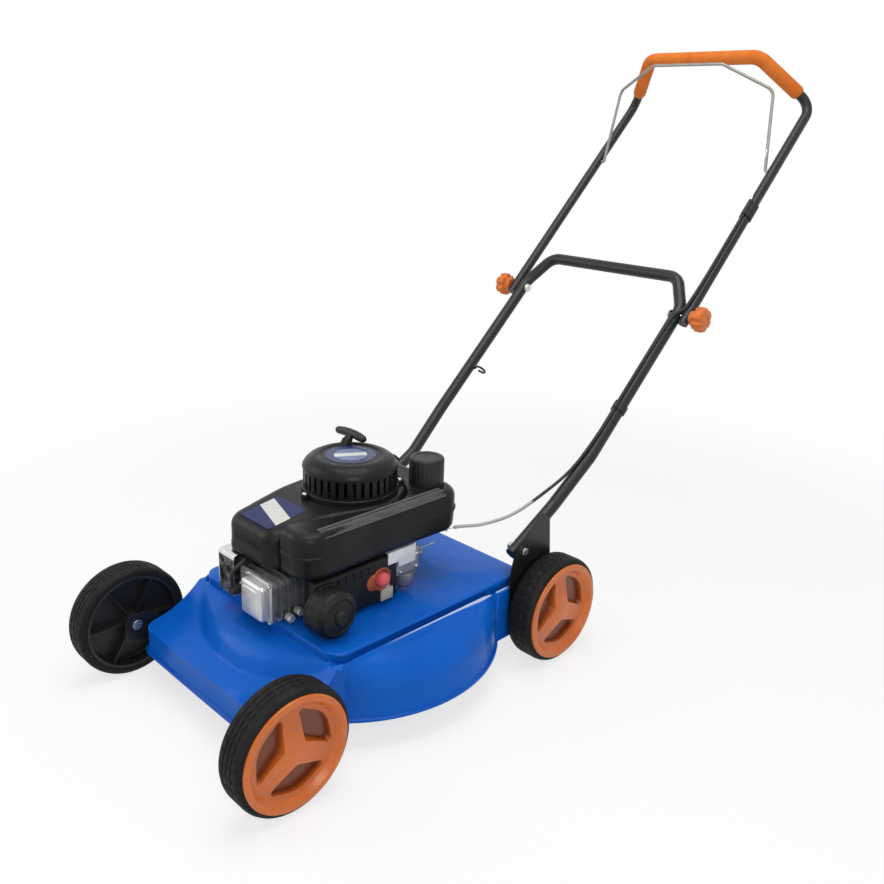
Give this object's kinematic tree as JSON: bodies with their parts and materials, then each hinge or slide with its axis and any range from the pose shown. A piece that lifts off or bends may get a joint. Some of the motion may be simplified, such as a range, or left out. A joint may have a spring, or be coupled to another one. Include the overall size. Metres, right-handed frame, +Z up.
{
  "type": "petrol lawn mower",
  "caption": "Side-discharge petrol lawn mower: round pressed deck, spoked wheels, vertical-shaft engine, folding tube handle with a stop bail.",
  "frame": {"origin": "on the ground below the middle of the machine's bounding box", "axes": "+Y towards the operator, +X to the operator's left, +Z up"},
  "size_m": [0.4894, 1.3714, 1.0107],
  "materials": {
    "deck_paint": "gloss blue stove enamel on pressed steel",
    "black_paint": "black powder coat",
    "black_plastic": "black moulded plastic",
    "orange_plastic": "orange moulded plastic",
    "orange_foam": "orange soft sleeve",
    "tyre_rubber": "black moulded tyre",
    "cable_sheath": "black sheath",
    "red_rubber": "red soft bulb",
    "zinc": "zinc-plated steel",
    "cast_alloy": "die-cast alloy",
    "bare_steel": "bare steel",
    "dark_steel": "heat-blackened steel",
    "bright_plate": "bright plated sheet"
  },
  "bodies": {
    "chassis": {"air_filter_cover": "black_plastic", "axle_bolt_front_left": "zinc", "axle_bolt_front_right": "zinc", "axle_bolt_rear_left": "zinc", "axle_bolt_rear_right": "zinc", "blower_housing": "black_plastic", "brake_cable_lower": "cable_sheath", "carburettor": "cast_alloy", "crankcase": "cast_alloy", "cylinder": "cast_alloy", "deck_shell": "deck_paint", "door_hinge_rod": "zinc", "door_spring": "zinc", "fuel_tank": "black_plastic", "handle_bolt_left": "zinc", "handle_bolt_right": "zinc", "handle_bracket_left": "black_paint", "handle_bracket_right": "black_paint", "intake_elbow": "black_plastic", "knob_bolt_left": "zinc", "knob_bolt_right": "zinc", "lower_handle": "black_paint", "muffler": "dark_steel", "muffler_guard": "bright_plate", "plug_lead": "cable_sheath", "rocker_cover": "cast_alloy", "spark_plug": "zinc", "starter_housing": "black_plastic", "wheel_bracket_front_left": "black_paint", "wheel_bracket_front_right": "black_paint"},
    "wheel_front_left": {"tyre_front_left": "tyre_rubber", "rim_front_left": "black_plastic", "wheel_cover_front_left": "orange_plastic"},
    "wheel_front_right": {"tyre_front_right": "tyre_rubber", "rim_front_right": "black_plastic", "wheel_cover_front_right": "orange_plastic"},
    "wheel_rear_left": {"tyre_rear_left": "tyre_rubber", "rim_rear_left": "black_plastic", "wheel_cover_rear_left": "orange_plastic"},
    "wheel_rear_right": {"tyre_rear_right": "tyre_rubber", "rim_rear_right": "black_plastic", "wheel_cover_rear_right": "orange_plastic"},
    "crank": {"crankshaft": "bare_steel", "flywheel": "cast_alloy", "blade_carrier": "dark_steel", "blade": "bare_steel", "blade_bolt": "zinc"},
    "folding_handle": {"upper_handle": "black_paint", "handle_grip": "orange_foam", "brake_cable_upper": "cable_sheath"},
    "bail_lever": {"stop_bail": "black_paint"},
    "engine_brake": {"brake_lever": "zinc"},
    "left_knob": {"knob_left": "orange_plastic"},
    "right_knob": {"knob_right": "orange_plastic"},
    "tank_cap": {"fuel_cap": "black_plastic"},
    "dipstick": {"oil_dipstick": "black_plastic"},
    "primer": {"primer_bulb": "red_rubber"},
    "pull_grip": {"starter_grip": "black_plastic"},
    "starter_reel": {"rope_reel": "black_plastic"},
    "chute_door": {"discharge_door": "black_plastic"}
  },
  "joints": [
    {"name": "front_left_wheel_spin", "type": "hinge", "parent": "chassis", "child": "wheel_front_left", "pos_m": [0.2184, -0.59566, 0.09], "axis": [1, 0, 0], "continuous": true},
    {"name": "front_right_wheel_spin", "type": "hinge", "parent": "chassis", "child": "wheel_front_right", "pos_m": [-0.2184, -0.59566, 0.09], "axis": [1, 0, 0], "continuous": true},
    {"name": "rear_left_wheel_spin", "type": "hinge", "parent": "chassis", "child": "wheel_rear_left", "pos_m": [0.2184, -0.04966, 0.09], "axis": [1, 0, 0], "continuous": true},
    {"name": "rear_right_wheel_spin", "type": "hinge", "parent": "chassis", "child": "wheel_rear_right", "pos_m": [-0.2184, -0.04966, 0.09], "axis": [1, 0, 0], "continuous": true},
    {"name": "crank_spin", "type": "hinge", "parent": "chassis", "child": "crank", "pos_m": [0, -0.31166, 0.06], "axis": [0, 0, 1], "continuous": true},
    {"name": "handle_fold", "type": "hinge", "parent": "chassis", "child": "folding_handle", "pos_m": [0, 0.30434, 0.538], "axis": [1, 0, 0], "range_deg": [0, 138]},
    {"name": "bail_squeeze", "type": "hinge", "parent": "folding_handle", "child": "bail_lever", "pos_m": [0, 0.56134, 0.78795], "axis": [-1, 0, 0], "range_deg": [0, 15], "stiffness_Nm_per_rad": 3, "springref_deg": -17.19},
    {"name": "brake_release", "type": "hinge", "parent": "chassis", "child": "engine_brake", "pos_m": [0.05353, -0.25221, 0.2335], "axis": [0, 0, 1], "range_deg": [0, 8.6]},
    {"name": "left_knob_turn", "type": "hinge", "parent": "chassis", "child": "left_knob", "pos_m": [0.2123, 0.30434, 0.538], "axis": [1, 0, 0], "range_deg": [0, 720]},
    {"name": "right_knob_turn", "type": "hinge", "parent": "chassis", "child": "right_knob", "pos_m": [-0.2123, 0.30434, 0.538], "axis": [-1, 0, 0], "range_deg": [0, 720]},
    {"name": "fuel_cap_turn", "type": "hinge", "parent": "chassis", "child": "tank_cap", "pos_m": [0.06, -0.20266, 0.3063], "axis": [0, 0, 1], "range_deg": [0, 90]},
    {"name": "dipstick_turn", "type": "hinge", "parent": "chassis", "child": "dipstick", "pos_m": [-0.078, -0.28366, 0.204], "axis": [-0.6018, 0, 0.7986], "range_deg": [0, 90]},
    {"name": "primer_press", "type": "slide", "parent": "chassis", "child": "primer", "axis": [-1, 0, 0], "range_m": [0, 0.005], "stiffness_N_per_m": 500, "springref_m": -0.002},
    {"name": "starter_pull", "type": "slide", "parent": "chassis", "child": "pull_grip", "axis": [0, 0.6157, 0.788], "range_m": [0, 0.6], "stiffness_N_per_m": 25, "springref_m": -0.4},
    {"name": "reel_turn", "type": "hinge", "parent": "chassis", "child": "starter_reel", "pos_m": [0, -0.31166, 0.363], "axis": [0, 0, 1], "range_deg": [-866, 0]},
    {"name": "chute_door_swing", "type": "hinge", "parent": "chassis", "child": "chute_door", "pos_m": [-0.2348, -0.31166, 0.1125], "axis": [0, 1, 0], "range_deg": [0, 80], "stiffness_Nm_per_rad": 0.3, "springref_deg": -17.19}
  ],
  "couplings": [
    {"joint": "brake_release", "follows": "bail_squeeze", "ratio": 0.573},
    {"joint": "reel_turn", "follows": "starter_pull", "rad_per_m": -25.157}
  ]
}
